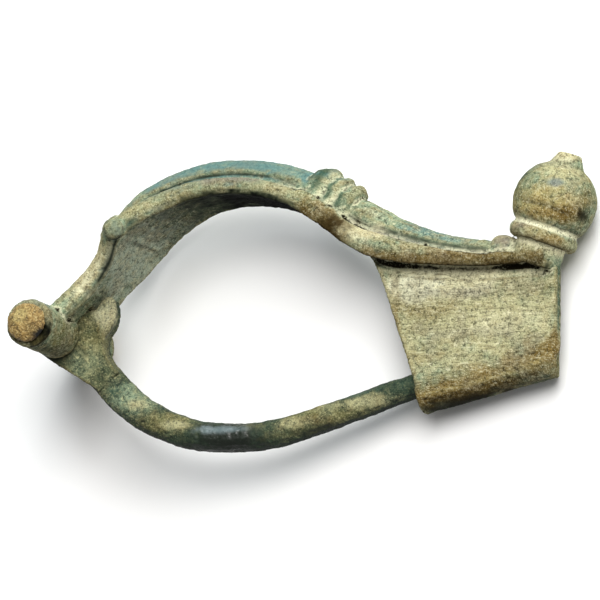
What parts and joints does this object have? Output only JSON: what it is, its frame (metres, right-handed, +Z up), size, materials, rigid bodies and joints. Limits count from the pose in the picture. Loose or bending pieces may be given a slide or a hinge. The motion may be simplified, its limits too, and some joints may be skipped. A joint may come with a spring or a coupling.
{
  "type": "roman fibula brooch",
  "caption": "Cast copper-alloy bow brooch with a ribbed arched bow, rolled hinge tube, ball-ended foot, catch-plate and a hinged pin, lying on its side.",
  "frame": {"origin": "middle of the bounding box at the floor the brooch lies on", "axes": "+X from the hinge towards the ball end, +Y towards the crown of the bow, +Z up from the floor"},
  "size_m": [0.0542, 0.0266, 0.0171],
  "materials": {
    "patinated_bronze": "matt green-brown patina with pale deposit in the hollows",
    "bar_bronze": "worn golden-brown, rough",
    "pin_bronze": "smooth dark green patina, slightly glossy, with tan patches"
  },
  "bodies": {
    "brooch": {"brooch_body": "patinated_bronze", "hinge_bar": "bar_bronze"},
    "pin": {"pin": "pin_bronze"}
  },
  "joints": [
    {"name": "pin_hinge", "type": "hinge", "parent": "brooch", "child": "pin", "pos_m": [-0.02428, -0.00175, 0.00832], "axis": [-0.1013, 0.0339, -0.9943], "range_deg": [0, 100]}
  ]
}
